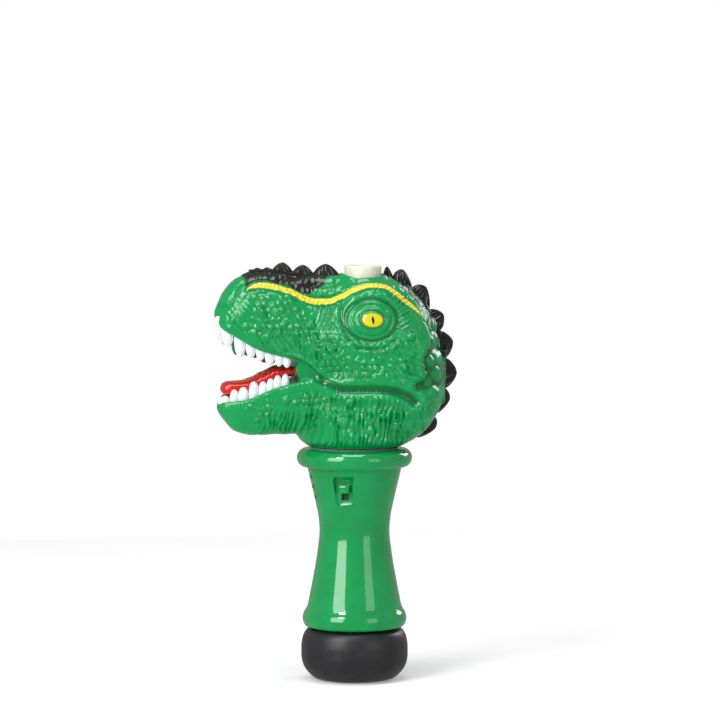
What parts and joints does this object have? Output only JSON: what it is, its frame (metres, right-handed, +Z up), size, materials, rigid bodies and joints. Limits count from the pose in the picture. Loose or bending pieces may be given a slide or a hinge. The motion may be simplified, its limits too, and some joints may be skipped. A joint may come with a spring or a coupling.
{
  "type": "bubble machine",
  "caption": "Hand-held toy bubble machine: an open-mouthed dinosaur head on an hourglass handle with a round base, blowing bubbles from a nozzle on top.",
  "frame": {"origin": "centre of the base's flat bottom, on the handle's axis", "axes": "+Z up along the handle's axis, -Y towards the snout, +X towards the animal's left side"},
  "size_m": [0.0588, 0.1222, 0.2092],
  "materials": {
    "head_green": "glossy moulded PVC or ABS in mid green, paint on the raised details",
    "handle_green": "high-gloss moulded ABS, mid green",
    "crest_black": "satin black moulded spikes",
    "base_black": "soft satin black moulded plastic",
    "tongue_red": "wet-looking glossy red moulded plastic",
    "nozzle_cream": "satin cream-white moulded plastic",
    "grey_plastic": "satin light grey moulded plastic",
    "milky_plastic": "translucent milky polypropylene",
    "acetal_white": "white acetal, satin",
    "tray_black": "black moulded plastic, satin",
    "steel": "bright zinc-plated steel",
    "brass": "plain brass, satin",
    "cell_wrap": "plain printed-film battery wrap, no marks",
    "board_green": "green solder mask on fibreglass board",
    "silicone": "translucent silicone tube",
    "cotton": "pressed cotton wick, matte",
    "wire_red": "red wire insulation",
    "wire_black": "black wire insulation"
  },
  "bodies": {
    "housing": {"battery_tray": "tray_black", "battery_1": "cell_wrap", "battery_2": "cell_wrap", "battery_3": "cell_wrap", "battery_spring_1": "steel", "battery_spring_2": "steel", "battery_spring_3": "steel", "battery_contact": "brass", "handle_shell_left": "handle_green", "handle_shell_right": "handle_green", "handle_screw_1": "steel", "handle_screw_2": "steel", "handle_screw_3": "steel", "handle_screw_4": "steel", "switch_body": "steel", "control_board": "board_green", "motor": "steel", "fan_housing": "grey_plastic", "neck_collar": "grey_plastic", "gear_plate": "acetal_white", "idler_axle": "steel", "pump_housing": "grey_plastic", "pump_cover": "milky_plastic", "solution_tube": "silicone", "solution_tank": "milky_plastic", "tank_lid": "milky_plastic", "mist_wick": "cotton", "mist_disc": "brass", "air_duct": "milky_plastic", "film_ring": "acetal_white", "head_shell_left": "head_green", "head_shell_right": "head_green", "head_screw_1": "steel", "head_screw_2": "steel", "head_screw_3": "steel", "head_screw_4": "steel", "snout_crest": "crest_black", "nape_crest": "crest_black", "tongue": "tongue_red", "battery_lead_positive": "wire_red", "battery_lead_negative": "wire_black", "motor_lead_positive": "wire_red", "motor_lead_negative": "wire_black"},
    "base": {"base_cap": "base_black"},
    "switch_slider": {"switch_knob": "handle_green"},
    "nozzle_cap": {"nozzle": "nozzle_cream"},
    "drive_shaft": {"motor_shaft": "brass", "fan_impeller": "acetal_white"},
    "idler": {"idler_gear": "acetal_white"},
    "rotor": {"pump_rotor": "acetal_white"},
    "roller_1": {"pump_roller_1": "steel"},
    "roller_2": {"pump_roller_2": "steel"},
    "roller_3": {"pump_roller_3": "steel"}
  },
  "joints": [
    {"name": "base_twist", "type": "hinge", "parent": "housing", "child": "base", "pos_m": [0, 0, 0.0305], "axis": [0, 0, 1], "range_deg": [0, 45]},
    {"name": "switch_slide", "type": "slide", "parent": "housing", "child": "switch_slider", "axis": [0, 0, -1], "range_m": [0, 0.0035]},
    {"name": "nozzle_twist", "type": "hinge", "parent": "housing", "child": "nozzle_cap", "pos_m": [0, 0.0043, 0.194], "axis": [0, 0, 1], "range_deg": [0, 60]},
    {"name": "rotor_spin", "type": "hinge", "parent": "housing", "child": "rotor", "pos_m": [0, 0.02, 0.1315], "axis": [0, 0, 1], "continuous": true},
    {"name": "idler_spin", "type": "hinge", "parent": "housing", "child": "idler", "pos_m": [0, 0.01, 0.1315], "axis": [0, 0, 1], "continuous": true},
    {"name": "shaft_spin", "type": "hinge", "parent": "housing", "child": "drive_shaft", "pos_m": [0, 0, 0.128], "axis": [0, 0, 1], "continuous": true},
    {"name": "roller_1_spin", "type": "hinge", "parent": "rotor", "child": "roller_1", "pos_m": [0, 0.026, 0.1394], "axis": [0, 0, 1], "continuous": true},
    {"name": "roller_2_spin", "type": "hinge", "parent": "rotor", "child": "roller_2", "pos_m": [-0.0052, 0.017, 0.1394], "axis": [0, 0, 1], "continuous": true},
    {"name": "roller_3_spin", "type": "hinge", "parent": "rotor", "child": "roller_3", "pos_m": [0.0052, 0.017, 0.1394], "axis": [0, 0, 1], "continuous": true}
  ],
  "couplings": [
    {"joint": "idler_spin", "follows": "rotor_spin", "ratio": -3},
    {"joint": "shaft_spin", "follows": "rotor_spin", "ratio": 9},
    {"joint": "roller_1_spin", "follows": "rotor_spin", "ratio": -3.2},
    {"joint": "roller_2_spin", "follows": "rotor_spin", "ratio": -3.2},
    {"joint": "roller_3_spin", "follows": "rotor_spin", "ratio": -3.2}
  ]
}
